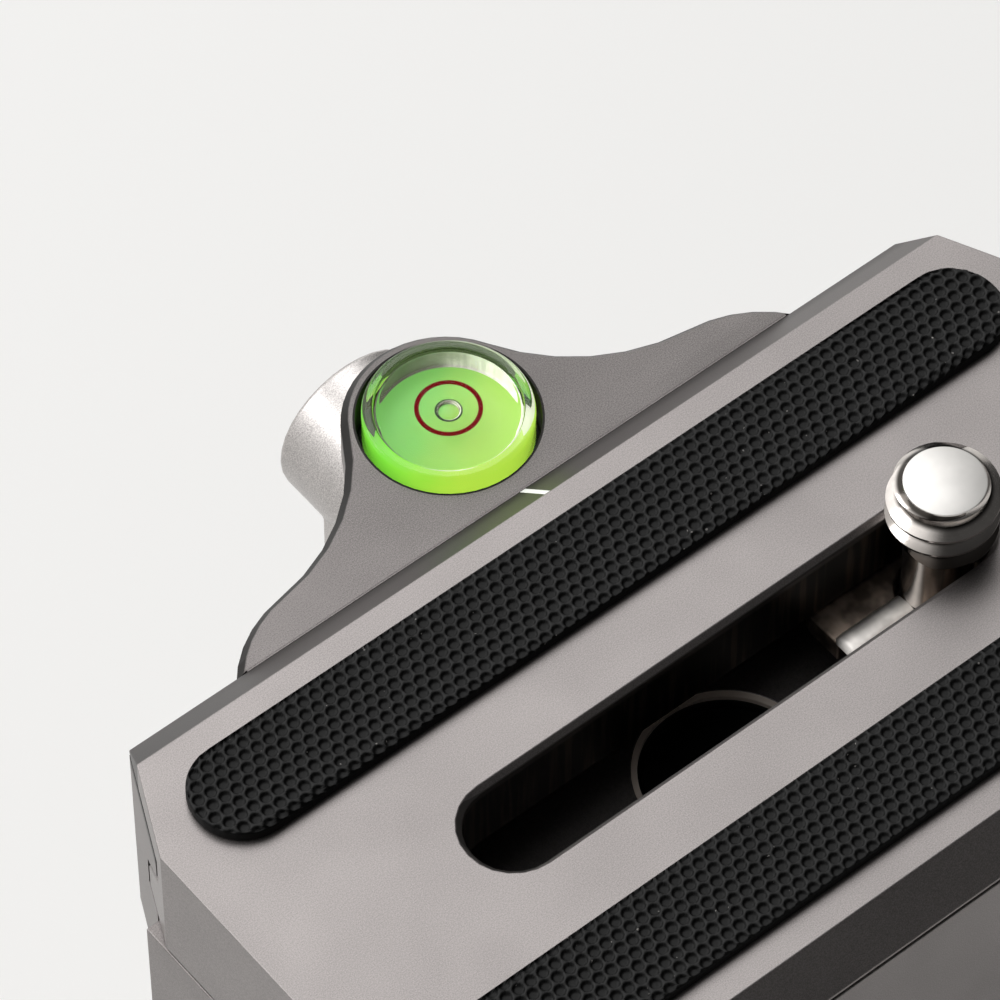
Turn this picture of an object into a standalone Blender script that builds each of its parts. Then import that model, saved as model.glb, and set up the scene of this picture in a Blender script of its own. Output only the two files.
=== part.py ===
# Tripod ball head with a dovetail quick release plate, modelled in metres.
# The origin is the centre of the base's underside, +Z is up, +X runs along the plate
# and +Y points to the ear that carries the bubble level.
import math

import bmesh
import bpy
from mathutils import Matrix, Vector

# Clearances
running_gap = 0.0003      # between pieces that touch or slide on the real head
seat_gap = 0.0001         # under the thin pads that are glued down
overrun = 0.002           # how far a cutter reaches past what it cuts

# Round resolution
fine_steps = 48
plain_steps = 32

# Base and panning spindle
base_height = 0.008
base_edge = 0.0006
socket_radius = 0.0048    # clears a 3/8 inch tripod stud
socket_depth = 0.0092
spindle_hub_radius = 0.008
spindle_flange_width = 0.0054  # from the hub out to the flange's rim
spindle_flange_height = 0.0023
spindle_flange_drop = 0.0005
pan_drum_radius = 0.009
pan_drum_height = 0.007
axle_radius = 0.005
axle_height = 0.0058
base_screw_radius = 0.00125
base_screw_head_radius = 0.0021
base_screw_head_height = 0.0014
base_screw_count = 3
pan_washer_thickness = 0.0005
pan_washer_width = 0.006
pan_washer_inset = 0.0018  # from the base's side in to the washer's rim

# Ball, stem and housing
ball_radius = 0.015
ball_lift = 0.0009         # lowest point of the ball above the panning nut
ball_flat_depth = 0.002    # how much of the ball its flat takes off
stem_radius = 0.006
stem_flange_radius = 0.0085
stem_flange_height = 0.0035
stem_flare_height = 0.003
stem_stud_radius = 0.003
stem_stud_length = 0.0075
stem_thread_spare = 0.0015  # of the stem's threaded hole, past the bolt
clamp_reach = 0.027       # underside of the clamp above the ball's centre
seat_wall = 0.0015        # from the ball out to the housing's bore
housing_wall = 0.0045
housing_skirt_step = 0.001
housing_skirt_height = 0.006
housing_groove_depth = 0.0006
housing_groove_height = 0.0009
housing_shoulder_rise = 0.0035  # above the ball's centre
housing_top_rise = 0.0078       # above the ball's centre
housing_top_inset = 0.0028
housing_lip_thickness = 0.0017
notch_clearance = 0.0008
carrier_thickness = 0.003
pan_nut_radius = 0.008
pan_nut_height = 0.002
spring_side_gap = 0.001
spring_width = 0.006
spring_height = 0.0022
seat_hole_gap = 0.0006     # round the panning nut
lower_seat_drop = 0.001   # the seat's rim below the stem when it lies in the notch
upper_seat_height = 0.0033

# Main lock knob, on +X, and panning lock knob, on -X
main_screw_drop = 0.0125   # below the ball's centre
main_screw_radius = 0.002
main_screw_bite = 0.0037   # how far the screw's tip lies inside the housing's bore
main_screw_travel = 0.0008
main_screw_length = 0.0175
main_boss_radius = 0.0085
main_boss_stand = 0.0026
main_neck_radius = 0.006
main_neck_length = 0.0026
main_knob_radius = 0.0095
main_knob_length = 0.0165
main_knob_edge = 0.001
main_knob_rib_share = 0.08
main_knob_ribs = 18
main_grip_thickness = 0.002
main_grip_inset = 0.0022
main_cap_rim = 0.0029      # of the knob, round its cap
main_cap_depth = 0.0012
pan_screw_rise = 0.0029    # above the housing's underside
pan_screw_radius = 0.0015
pan_screw_length = 0.0195
pan_screw_travel = 0.0006
pan_neck_radius = 0.0034
pan_neck_length = 0.0028
pan_knob_radius = 0.0058
pan_knob_length = 0.013
pan_knob_edge = 0.0008
pan_grip_thickness = 0.0011
pan_grip_inset = 0.0018
pan_grip_ribs = 14
pan_grip_rib_share = 0.07

# Quick release plate
plate_length = 0.062
plate_width = 0.0357
plate_bevel_run = 0.00225  # how far the long bevel comes in
plate_bevel = 0.00223      # how far it comes down
plate_edge = 0.00017      # straight edge under the long bevel
plate_overhang = 0.00645  # of the flange beyond the neck
plate_neck_height = 0.0022
plate_flank = 0.0026      # how far the dovetail spreads, at 45 degrees
plate_tail_height = 0.0018
plate_corner_cut_x = 0.0037
plate_corner_cut_y = 0.0077
plate_web = 0.005
slot_length = 0.0358
slot_width = 0.0055
slot_bevel = 0.00035
pocket_end_margin = 0.0061  # beyond the slot
pocket_wall = 0.003       # between the pocket and the neck
pocket_corner = 0.003
strip_end_margin = 0.0029
strip_side_margin = 0.00194  # from the bevel in to a rubber strip
strip_width = 0.0061
strip_thickness = 0.0008
strip_corner = 0.003
strip_edge = 0.0002
plate_travel = 0.003      # how far the plate can shift in the clamp, each way
stop_screw_inset = 0.0045  # from the plate's end
stop_screw_radius = 0.0013
stop_screw_length = 0.0039
stop_screw_reach = 0.0014  # below the plate's underside
stop_groove_gap = 0.0006  # around a stop screw in its groove

# Camera screw, 1/4 inch with 20 threads per inch, and its folding handle
camera_screw_inset = 0.00295  # from the slot's end
camera_thread_radius = 0.003175
camera_thread_root = 0.0026
camera_thread_pitch = 0.00127
camera_thread_turns = 3
thread_share = 0.85       # of a pitch that each modelled turn takes
camera_tip_radius = 0.00236
camera_screw_reach = 0.00479
camera_shank_radius = 0.002
camera_thread_lift = 0.0012  # bottom of the thread above the plate
camera_head_radius = 0.0034
camera_head_height = 0.0011
camera_key_width = 0.0009
camera_key_depth = 0.0006
tab_reach = 0.0067
tab_heel = 0.0035
tab_width = 0.007
tab_thickness = 0.0015
tab_slit = 0.0009
tab_corner = 0.0006

# Clamp
clamp_slab = 0.0077       # under the plate
clamp_lip_gap = 0.0003
slab_inset = 0.002        # the fixed part ends this far inside the dovetail
jaw_flank_gap = 0.0003
centre_bolt_radius = 0.003
centre_bolt_head_rim = 0.0016
centre_bolt_head_height = 0.0035
centre_bolt_length = 0.0108
centre_bolt_key = 0.0025
centre_bolt_key_depth = 0.002
counterbore_gap = 0.0007  # round the bolt's head
counterbore_spare = 0.0007  # above the bolt's head
guide_pin_inset = 0.012   # from the plate's end
guide_pin_radius = 0.0016
guide_pin_depth = 0.01    # in the fixed part
jaw_spring_gap = 0.0005   # round a guide pin
jaw_spring_wall = 0.00085  # of the slab, outside a spring
jaw_spring_length = 0.0045

# Ear with the bubble level
ear_reach = 0.00645       # centre of the level beyond the clamp's side
ear_rise = 0.00048        # above the jaw, so that it lies level with the foot of the plate's bevel
ear_tip_shift = 0.00027   # centre of the round tip beyond the level's
ear_tip_wall = 0.0003     # thinnest wall round the level, at the sides of the tip
ear_shoulder_x = 0.0138
ear_shoulder_inset = 0.00466
ear_shoulder_radius = 0.00742
ear_fillet_radius = 0.0126
ear_thickness = 0.0035
ear_edge_inset = 0.00015   # of the flat top, inside the arcs above
ear_edge_spread = 0.00035  # of the side, outside them
ear_edge_drop = 0.0006     # height of the slanted edge between the two
ear_front_gap = 0.0001     # between the plate's side and the raised part of the ear
level_radius = 0.00488
level_side_gap = 0.00035
level_hole_floor = 0.0006
level_rise = 0.001        # top of the level above the ear
level_base_height = 0.0005
level_edge = 0.0005

# Clamp lever under the ear
lever_cover = 0.0026      # of the slab above the lever's axis
lever_hub_radius = 0.00505
lever_hub_length = 0.01555
lever_arm_start = 0.00635  # along the hub
lever_arm_thickness = 0.0057
lever_arm_length = 0.0086
lever_arm_width = 0.0092
lever_arm_corner = 0.002
lever_edge = 0.00025
lever_shaft_radius = 0.0019
lever_shaft_depth = 0.005  # in the fixed part
lever_shaft_cover = 0.0047  # of the hub past the shaft's end
lever_key = 0.002
lever_key_depth = 0.0018

# Sizes and levels that those above give, from the tripod up
housing_bore_radius = ball_radius + seat_wall
housing_radius = housing_bore_radius + housing_wall
housing_skirt_radius = housing_radius + housing_skirt_step
housing_top_radius = housing_radius - housing_top_inset
base_radius = housing_skirt_radius
inner_radius = housing_bore_radius - running_gap
ball_clear_radius = ball_radius + running_gap
ball_flat_height = ball_radius - ball_flat_depth
spindle_flange_radius = spindle_hub_radius + spindle_flange_width
base_screw_circle = (spindle_hub_radius + spindle_flange_radius) / 2 + running_gap
pan_washer_outer = base_radius - pan_washer_inset
pan_washer_inner = pan_washer_outer - pan_washer_width
spring_outer = housing_bore_radius - spring_side_gap
spring_inner = spring_outer - spring_width
lower_seat_hole_radius = pan_nut_radius + seat_hole_gap

housing_bottom = base_height + pan_washer_thickness + 2 * running_gap
flange_top = base_height - spindle_flange_drop
drum_top = flange_top + pan_drum_height
axle_top = drum_top + axle_height
carrier_bottom = drum_top + running_gap
carrier_top = carrier_bottom + carrier_thickness
pan_nut_top = carrier_top + running_gap + pan_nut_height
ball_height = pan_nut_top + ball_lift + ball_radius
housing_shoulder_height = ball_height + housing_shoulder_rise
housing_top_height = ball_height + housing_top_rise

main_screw_height = ball_height - main_screw_drop
main_screw_tip = housing_bore_radius - main_screw_bite
main_boss_reach = housing_radius + main_boss_stand
main_grip_radius = main_knob_radius + main_grip_thickness
main_cap_radius = main_knob_radius - main_cap_rim
pan_screw_height = housing_bottom + pan_screw_rise
pan_grip_radius = pan_knob_radius + pan_grip_thickness

plate_top_depth = plate_bevel + plate_edge
plate_neck_depth = plate_top_depth + plate_neck_height
plate_thickness = plate_neck_depth + plate_flank + plate_tail_height
plate_top_width = plate_width - 2 * plate_bevel_run
half_plate_width = plate_width / 2
plate_neck_width = plate_width - 2 * plate_overhang
plate_dovetail_width = plate_neck_width + 2 * plate_flank
pocket_length = slot_length + 2 * pocket_end_margin
pocket_width = plate_neck_width - 2 * pocket_wall
strip_length = plate_length - 2 * strip_end_margin
strip_outer = plate_top_width / 2 - strip_side_margin
strip_inner = strip_outer - strip_width
stop_screw_place = plate_length / 2 - stop_screw_inset
camera_screw_place = slot_length / 2 - camera_screw_inset

clamp_bottom = ball_height + clamp_reach
clamp_floor = clamp_bottom + clamp_slab
plate_top = clamp_floor + running_gap + plate_thickness
flange_underside = plate_top - plate_top_depth
jaw_top = flange_underside - clamp_lip_gap
slab_edge = plate_dovetail_width / 2 - slab_inset
centre_bolt_head_radius = centre_bolt_radius + centre_bolt_head_rim
counterbore_radius = centre_bolt_head_radius + counterbore_gap
counterbore_depth = running_gap + centre_bolt_head_height + counterbore_spare
guide_pin_place = plate_length / 2 - guide_pin_inset
guide_pin_start = slab_edge - guide_pin_depth
guide_pin_height = (clamp_bottom + clamp_floor) / 2
jaw_spring_inner = guide_pin_radius + jaw_spring_gap
jaw_spring_outer = clamp_slab / 2 - jaw_spring_wall

ear_top = jaw_top + ear_rise
ear_bottom = ear_top - ear_thickness
ear_centre = half_plate_width + ear_reach
level_hole_radius = level_radius + level_side_gap
ear_tip_radius = level_hole_radius + ear_tip_wall
ear_shoulder_y = half_plate_width - ear_shoulder_inset

lever_axis = clamp_floor - lever_cover
lever_start = half_plate_width + running_gap
lever_reach = lever_start + lever_hub_length
lever_arm_inner = lever_start + lever_arm_start
lever_arm_outer = lever_arm_inner + lever_arm_thickness
lever_shaft_start = slab_edge - lever_shaft_depth
lever_shaft_end = lever_reach - lever_shaft_cover


def clear_scene():
    for old in list(bpy.data.objects):
        bpy.data.objects.remove(old, do_unlink=True)


def make_material(name, color, roughness, metallic=0.0):
    material = bpy.data.materials.new(name)
    material.use_nodes = True
    shader = material.node_tree.nodes["Principled BSDF"]
    shader.inputs["Base Color"].default_value = (*color, 1.0)
    shader.inputs["Roughness"].default_value = roughness
    shader.inputs["Metallic"].default_value = metallic
    return material


def add_object(name, bm, material, joint=None, helper=False):
    """Turns a bmesh into a named object, with its origin on its joint's axis."""
    bmesh.ops.remove_doubles(bm, verts=bm.verts, dist=running_gap / 1000)
    bmesh.ops.recalc_face_normals(bm, faces=bm.faces)
    place = Vector(joint) if joint else Vector((0, 0, 0))
    bmesh.ops.translate(bm, verts=bm.verts, vec=-place)
    mesh = bpy.data.meshes.new(name)
    bm.to_mesh(mesh)
    bm.free()
    mesh.shade_smooth()
    mesh.set_sharp_from_angle(angle=math.radians(35))
    obj = bpy.data.objects.new(name, mesh)
    obj.location = place
    bpy.context.scene.collection.objects.link(obj)
    if helper:
        obj.hide_render = True
        obj.display_type = "WIRE"
    else:
        obj.data.materials.append(material)
    return obj


def turn_bm(profile, steps):
    """Spins a profile of (radius, height) about Z: a closed ring, or a line from axis to axis."""
    bm = bmesh.new()
    verts = [bm.verts.new((radius, 0, height)) for radius, height in profile]
    edges = [bm.edges.new(pair) for pair in zip(verts, verts[1:])]
    if min(radius for radius, height in profile) > 0:
        edges.append(bm.edges.new((verts[-1], verts[0])))
    bmesh.ops.spin(bm, geom=verts + edges, cent=(0, 0, 0), axis=(0, 0, 1),
                   angle=2 * math.pi, steps=steps, use_merge=True)
    return bm


def along(bm, direction, start):
    """Moves a shape built up +Z so that it points along a direction from a start point."""
    turn = Vector((0, 0, 1)).rotation_difference(Vector(direction)).to_matrix().to_4x4()
    bm.transform(Matrix.Translation(Vector(start)) @ turn)
    return bm


def stack_bm(sections):
    """Joins outlines of equal count, given as (outline, height), into one closed body."""
    bm = bmesh.new()
    rings = [[bm.verts.new((x, y, height)) for x, y in outline] for outline, height in sections]
    for low, high in zip(rings, rings[1:]):
        for i in range(len(low)):
            j = (i + 1) % len(low)
            bm.faces.new((low[i], low[j], high[j], high[i]))
    bm.faces.new(rings[0])
    bm.faces.new(rings[-1])
    return bm


def cylinder_bm(radius, start, end, steps=plain_steps):
    span = Vector(end) - Vector(start)
    profile = [(0, 0), (radius, 0), (radius, span.length), (0, span.length)]
    return along(turn_bm(profile, steps), span, start)


def stepped_bm(spans, steps=20):
    """A round cutter along Z with steps, from (radius, start, end) for each span in turn."""
    profile = [(0, spans[0][1])]
    for radius, start, end in spans:
        profile += [(radius, start), (radius, end)]
    return turn_bm(profile + [(0, spans[-1][2])], steps)


def box_bm(low, high):
    outline = [(low[0], low[1]), (high[0], low[1]), (high[0], high[1]), (low[0], high[1])]
    return stack_bm([(outline, low[2]), (outline, high[2])])


def arc(centre, radius, start_deg, end_deg, steps):
    """Points along an arc, both ends included."""
    turns = [math.radians(start_deg + (end_deg - start_deg) * i / steps) for i in range(steps + 1)]
    return [(centre[0] + radius * math.cos(t), centre[1] + radius * math.sin(t)) for t in turns]


def rounded_rectangle(low, high, radius, steps=6):
    corners = [((high[0] - radius, low[1] + radius), -90), ((high[0] - radius, high[1] - radius), 0),
               ((low[0] + radius, high[1] - radius), 90), ((low[0] + radius, low[1] + radius), 180)]
    return [point for centre, start in corners for point in arc(centre, radius, start, start + 90, steps)]


def apply_boolean(obj, other, operation):
    modifier = obj.modifiers.new(other.name, "BOOLEAN")
    modifier.operation = operation
    modifier.object = other
    modifier.solver = "EXACT"


def cut(obj, name, bm):
    apply_boolean(obj, add_object(name, bm, None, helper=True), "DIFFERENCE")


def join(obj, name, bm):
    apply_boolean(obj, add_object(name, bm, None, helper=True), "UNION")


def sphere_arc(radius, low, high, steps=8):
    """Points (radius, height) on a sphere about the ball's centre, from one height to another."""
    points = []
    for i in range(steps + 1):
        height = low + (high - low) * i / steps
        points.append((math.sqrt(radius ** 2 - (height - ball_height) ** 2), height))
    return points


def ribbed_outline(radius, ribs, share):
    """A round outline with shallow grip flutes, four points a rib."""
    points = []
    for i in range(ribs * 4):
        angle = 2 * math.pi * i / (ribs * 4)
        depth = share if i % 4 in (0, 3) else 0
        points.append((radius * (1 - depth) * math.cos(angle), radius * (1 - depth) * math.sin(angle)))
    return points


# Base

def make_base():
    recess_bottom = flange_top - spindle_flange_height - running_gap
    hub_hole = spindle_hub_radius + running_gap
    recess = spindle_flange_radius + running_gap
    profile = [(hub_hole, 0), (base_radius - base_edge, 0), (base_radius, base_edge),
               (base_radius, base_height - base_edge), (base_radius - base_edge, base_height),
               (recess, base_height), (recess, recess_bottom), (hub_hole, recess_bottom)]
    base = add_object("base", turn_bm(profile, fine_steps), body_grey)
    for i, (x, y) in enumerate(base_screw_places()):
        head_depth = base_screw_head_height + 2 * running_gap
        hole = stepped_bm([(base_screw_head_radius + running_gap, -overrun, head_depth),
                           (base_screw_radius + running_gap, head_depth, base_height)])
        cut(base, f"base_screw_hole_{i}", along(hole, (0, 0, 1), (x, y, 0)))


def base_screw_places():
    angles = [2 * math.pi * (i + 0.25) / base_screw_count for i in range(base_screw_count)]
    return [(base_screw_circle * math.cos(a), base_screw_circle * math.sin(a)) for a in angles]


def make_base_screws():
    for i, (x, y) in enumerate(base_screw_places()):
        head_top = running_gap + base_screw_head_height
        shank_top = flange_top - 2 * running_gap
        profile = [(0, running_gap), (base_screw_head_radius, running_gap),
                   (base_screw_head_radius, head_top), (base_screw_radius, head_top),
                   (base_screw_radius, shank_top), (0, shank_top)]
        bm = turn_bm(profile, 18)
        bmesh.ops.translate(bm, verts=bm.verts, vec=(x, y, 0))
        add_object(f"base_screw_{i + 1}", bm, steel)


def make_spindle():
    flange_bottom = flange_top - spindle_flange_height
    profile = [(socket_radius, running_gap), (spindle_hub_radius, running_gap),
               (spindle_hub_radius, flange_bottom), (spindle_flange_radius, flange_bottom),
               (spindle_flange_radius, flange_top), (pan_drum_radius, flange_top),
               (pan_drum_radius, drum_top), (axle_radius, drum_top), (axle_radius, axle_top),
               (0, axle_top)]
    bm = turn_bm([(0, socket_depth), (socket_radius, socket_depth)] + profile, plain_steps)
    spindle = add_object("spindle", bm, steel)
    for i, (x, y) in enumerate(base_screw_places()):
        hole = base_screw_radius + running_gap
        cutter = cylinder_bm(hole, (x, y, flange_bottom - overrun), (x, y, flange_top + overrun / 4), 20)
        cut(spindle, f"spindle_hole_{i}", cutter)


def make_pan_washer():
    low = base_height + running_gap
    high = low + pan_washer_thickness
    profile = [(pan_washer_inner, low), (pan_washer_outer, low),
               (pan_washer_outer, high), (pan_washer_inner, high)]
    add_object("pan_washer", turn_bm(profile, plain_steps), white_plastic)


# Housing and what it holds

def notch_bm(clearance):
    """The drop notch: a slot with a round foot, open at the top and towards -Y."""
    half = stem_radius + clearance
    top = housing_top_height + overrun
    outline = arc((0, ball_height), half, 180, 360, 14) + [(half, top), (-half, top)]
    bm = stack_bm([(outline, 0), (outline, housing_skirt_radius)])
    # The outline lies in X and Z, and the stack grows towards -Y.
    bm.transform(Matrix.Rotation(math.radians(90), 4, "X"))
    return bm


def make_housing():
    groove_low = housing_bottom + housing_skirt_height
    groove_high = groove_low + housing_groove_height
    lip_bottom = housing_top_height - housing_lip_thickness
    groove_radius = housing_radius - housing_groove_depth
    outer = [(housing_bore_radius, housing_bottom), (housing_skirt_radius - base_edge, housing_bottom),
             (housing_skirt_radius, housing_bottom + base_edge), (housing_skirt_radius, groove_low),
             (groove_radius, groove_low), (groove_radius, groove_high), (housing_radius, groove_high),
             (housing_radius, housing_shoulder_height), (housing_top_radius, housing_top_height)]
    inner = sphere_arc(ball_clear_radius, housing_top_height, lip_bottom, 3)
    bm = turn_bm(outer + inner + [(housing_bore_radius, lip_bottom)], fine_steps)
    housing = add_object("housing", bm, body_grey)
    boss_start = (housing_bore_radius + housing_radius) / 2
    join(housing, "main_boss", cylinder_bm(main_boss_radius, (boss_start, 0, main_screw_height),
                                           (main_boss_reach, 0, main_screw_height)))
    cut(housing, "main_screw_hole",
        cylinder_bm(main_screw_radius + running_gap, (main_screw_tip, 0, main_screw_height),
                    (main_boss_reach + overrun, 0, main_screw_height), 20))
    cut(housing, "pan_screw_hole",
        cylinder_bm(pan_screw_radius + running_gap, (-pan_drum_radius, 0, pan_screw_height),
                    (-housing_skirt_radius - overrun, 0, pan_screw_height), 20))
    cut(housing, "housing_notch", notch_bm(notch_clearance))


def make_carrier():
    bore = axle_radius + running_gap
    profile = [(bore, carrier_bottom), (inner_radius, carrier_bottom),
               (inner_radius, carrier_top), (bore, carrier_top)]
    add_object("bearing_carrier", turn_bm(profile, plain_steps), steel)


def make_pan_nut():
    low = carrier_top + running_gap
    high = low + pan_nut_height
    outline = arc((0, 0), pan_nut_radius, 0, 300, 5)
    nut = add_object("pan_nut", stack_bm([(outline, low), (outline, high)]), steel)
    bore = axle_radius + running_gap
    cut(nut, "pan_nut_bore", cylinder_bm(bore, (0, 0, low - overrun), (0, 0, high + overrun)))


def make_seat_spring():
    low = carrier_top + running_gap
    high = low + spring_height
    profile = [(spring_inner, low), (spring_outer, low), (spring_outer, high), (spring_inner, high)]
    add_object("seat_spring", turn_bm(profile, plain_steps), steel)


def make_lower_seat():
    bottom = carrier_top + spring_height + 2 * running_gap
    top = ball_height - stem_radius - lower_seat_drop
    cup_low = ball_height - math.sqrt(ball_clear_radius ** 2 - lower_seat_hole_radius ** 2)
    cup = sphere_arc(ball_clear_radius, top, cup_low, 7)
    profile = [(lower_seat_hole_radius, bottom), (inner_radius, bottom), (inner_radius, top)] + cup
    seat = add_object("lower_seat", turn_bm(profile, plain_steps), white_plastic)
    hole_start = main_screw_tip - main_screw_travel - running_gap
    cut(seat, "seat_screw_hole",
        cylinder_bm(main_screw_radius + running_gap, (hole_start, 0, main_screw_height),
                    (housing_radius, 0, main_screw_height), 20))


def make_upper_seat():
    top = housing_top_height - housing_lip_thickness - running_gap
    low = top - upper_seat_height
    inner = sphere_arc(ball_clear_radius, top, low, 4)
    profile = [(inner_radius, low), (inner_radius, top)] + inner
    seat = add_object("upper_seat", turn_bm(profile, fine_steps), white_plastic)
    cut(seat, "upper_seat_notch", notch_bm(notch_clearance))


# Ball and stem

def make_ball():
    steps = 22
    low = [(ball_radius * math.sin(math.pi * i / steps), ball_height - ball_radius * math.cos(math.pi * i / steps))
           for i in range(steps + 1)]
    flat = ball_height + ball_flat_height
    flat_radius = math.sqrt(ball_radius ** 2 - ball_flat_height ** 2)
    kept = [(radius, height) for radius, height in low if height < flat - running_gap]
    kept[0] = (0, ball_height - ball_radius)
    hole = stem_stud_radius + running_gap
    hole_bottom = flat - stem_stud_length - running_gap
    profile = kept + [(flat_radius, flat), (hole, flat), (hole, hole_bottom), (0, hole_bottom)]
    add_object("ball", turn_bm(profile, fine_steps), ball_grey, joint=(0, 0, ball_height))


def make_stem():
    foot = ball_height + ball_flat_height + running_gap
    stud_end = foot - stem_stud_length
    top = clamp_bottom - running_gap
    flange_low = top - stem_flange_height
    thread = centre_bolt_radius + running_gap
    bolt_end = clamp_floor - counterbore_depth + running_gap - centre_bolt_length
    thread_low = bolt_end - stem_thread_spare
    profile = [(0, stud_end), (stem_stud_radius, stud_end), (stem_stud_radius, foot),
               (stem_radius, foot), (stem_radius, flange_low - stem_flare_height),
               (stem_flange_radius, flange_low), (stem_flange_radius, top),
               (thread, top), (thread, thread_low), (0, thread_low)]
    add_object("stem", turn_bm(profile, fine_steps), ball_grey, joint=(0, 0, ball_height))


# Knobs

def make_main_knob():
    boss = main_boss_reach + running_gap
    neck_end = boss + main_neck_length
    end = neck_end + main_knob_length
    bore = main_screw_radius + running_gap
    screw_end = main_screw_tip + main_screw_length
    cap_recess = main_cap_radius + running_gap
    cap_floor = end - main_cap_depth - running_gap
    axis = (0, 0, main_screw_height)
    profile = [(bore, boss), (main_neck_radius, boss), (main_neck_radius, neck_end),
               (main_knob_radius - main_knob_edge, neck_end), (main_knob_radius, neck_end + main_knob_edge),
               (main_knob_radius, end - main_knob_edge), (main_knob_radius - main_knob_edge, end),
               (cap_recess, end), (cap_recess, cap_floor), (0, cap_floor)]
    hollow = [(0, screw_end + running_gap), (bore, screw_end + running_gap)]
    bm = along(turn_bm(hollow + profile, plain_steps), (1, 0, 0), axis)
    add_object("main_knob", bm, knob_silver, joint=(boss, 0, main_screw_height))

    grip_start = neck_end + main_grip_inset
    grip_end = end - main_grip_inset
    outline = ribbed_outline(main_grip_radius, main_knob_ribs, main_knob_rib_share)
    bm = along(stack_bm([(outline, grip_start), (outline, grip_end)]), (1, 0, 0), axis)
    grip = add_object("main_knob_grip", bm, rubber, joint=(boss, 0, main_screw_height))
    cut(grip, "main_grip_bore",
        cylinder_bm(main_knob_radius + running_gap, (grip_start - overrun, 0, main_screw_height),
                    (grip_end + overrun, 0, main_screw_height)))

    cap = cylinder_bm(main_cap_radius, (end - main_cap_depth, 0, main_screw_height), (end, 0, main_screw_height))
    add_object("main_knob_cap", cap, body_grey, joint=(boss, 0, main_screw_height))

    screw = cylinder_bm(main_screw_radius, (main_screw_tip, 0, main_screw_height),
                        (screw_end, 0, main_screw_height), 20)
    add_object("main_lock_screw", screw, steel, joint=(main_screw_tip, 0, main_screw_height))


def make_pan_knob():
    start = housing_skirt_radius + running_gap
    neck_end = start + pan_neck_length
    end = neck_end + pan_knob_length
    bore = pan_screw_radius + running_gap
    screw_start = pan_drum_radius + pan_screw_travel + running_gap
    screw_end = screw_start + pan_screw_length
    axis = (0, 0, pan_screw_height)
    profile = [(0, screw_end + running_gap), (bore, screw_end + running_gap), (bore, start),
               (pan_neck_radius, start), (pan_neck_radius, neck_end),
               (pan_knob_radius - pan_knob_edge, neck_end), (pan_knob_radius, neck_end + pan_knob_edge),
               (pan_knob_radius, end - pan_knob_edge), (pan_knob_radius - pan_knob_edge, end), (0, end)]
    bm = along(turn_bm(profile, plain_steps), (-1, 0, 0), axis)
    add_object("pan_knob", bm, knob_silver, joint=(-start, 0, pan_screw_height))

    grip_start = neck_end + pan_grip_inset
    grip_end = end - pan_grip_inset
    outline = ribbed_outline(pan_grip_radius, pan_grip_ribs, pan_grip_rib_share)
    bm = along(stack_bm([(outline, grip_start), (outline, grip_end)]), (-1, 0, 0), axis)
    grip = add_object("pan_knob_grip", bm, rubber, joint=(-start, 0, pan_screw_height))
    cut(grip, "pan_grip_bore",
        cylinder_bm(pan_knob_radius + running_gap, (-grip_start + overrun, 0, pan_screw_height),
                    (-grip_end - overrun, 0, pan_screw_height)))

    screw = cylinder_bm(pan_screw_radius, (-screw_start, 0, pan_screw_height),
                        (-screw_end, 0, pan_screw_height), 20)
    add_object("pan_lock_screw", screw, steel, joint=(-screw_start, 0, pan_screw_height))


# Clamp

def bar_bm(profile):
    """A bar along X with a profile of (y, z), as long as the plate."""
    bm = bmesh.new()
    half = plate_length / 2
    ends = [[bm.verts.new((x, y, z)) for y, z in profile] for x in (-half, half)]
    for i in range(len(profile)):
        j = (i + 1) % len(profile)
        bm.faces.new((ends[0][i], ends[0][j], ends[1][j], ends[1][i]))
    bm.faces.new(ends[0])
    bm.faces.new(ends[1])
    return bm


def trim_corners(obj, sides):
    """Cuts the slanted corners of the plate's outline off a bar, on the -Y or +Y side or both."""
    slant = Vector((-plate_corner_cut_x, plate_corner_cut_y)).normalized() * 2 * overrun
    start = Vector((plate_length / 2, half_plate_width - plate_corner_cut_y)) - slant
    end = Vector((plate_length / 2 - plate_corner_cut_x, half_plate_width)) + slant
    outer = Vector((plate_length / 2, half_plate_width)) + Vector((2 * overrun, 2 * overrun))
    for side_x, name in ((-1, "left"), (1, "right")):
        for side_y in sides:
            outline = [(side_x * point.x, side_y * point.y) for point in (start, end, outer)]
            prism = stack_bm([(outline, clamp_bottom - overrun), (outline, plate_top + overrun)])
            cut(obj, f"{obj.name}_corner_{name}_{'front' if side_y < 0 else 'rear'}", prism)


def jaw_groove(side):
    """The dovetail groove of one jaw, from its lip down to the clamp's floor."""
    lip = plate_neck_width / 2 + jaw_flank_gap
    wall = plate_dovetail_width / 2 + jaw_flank_gap
    # The flank keeps its gap square to the slope, so it starts higher than the plate's.
    flank_top = plate_top - plate_neck_depth + jaw_flank_gap * (math.sqrt(2) - 1)
    flank_bottom = flank_top - (wall - lip)
    return [(side * lip, jaw_top), (side * lip, flank_top), (side * wall, flank_bottom),
            (side * wall, clamp_floor)]


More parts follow.
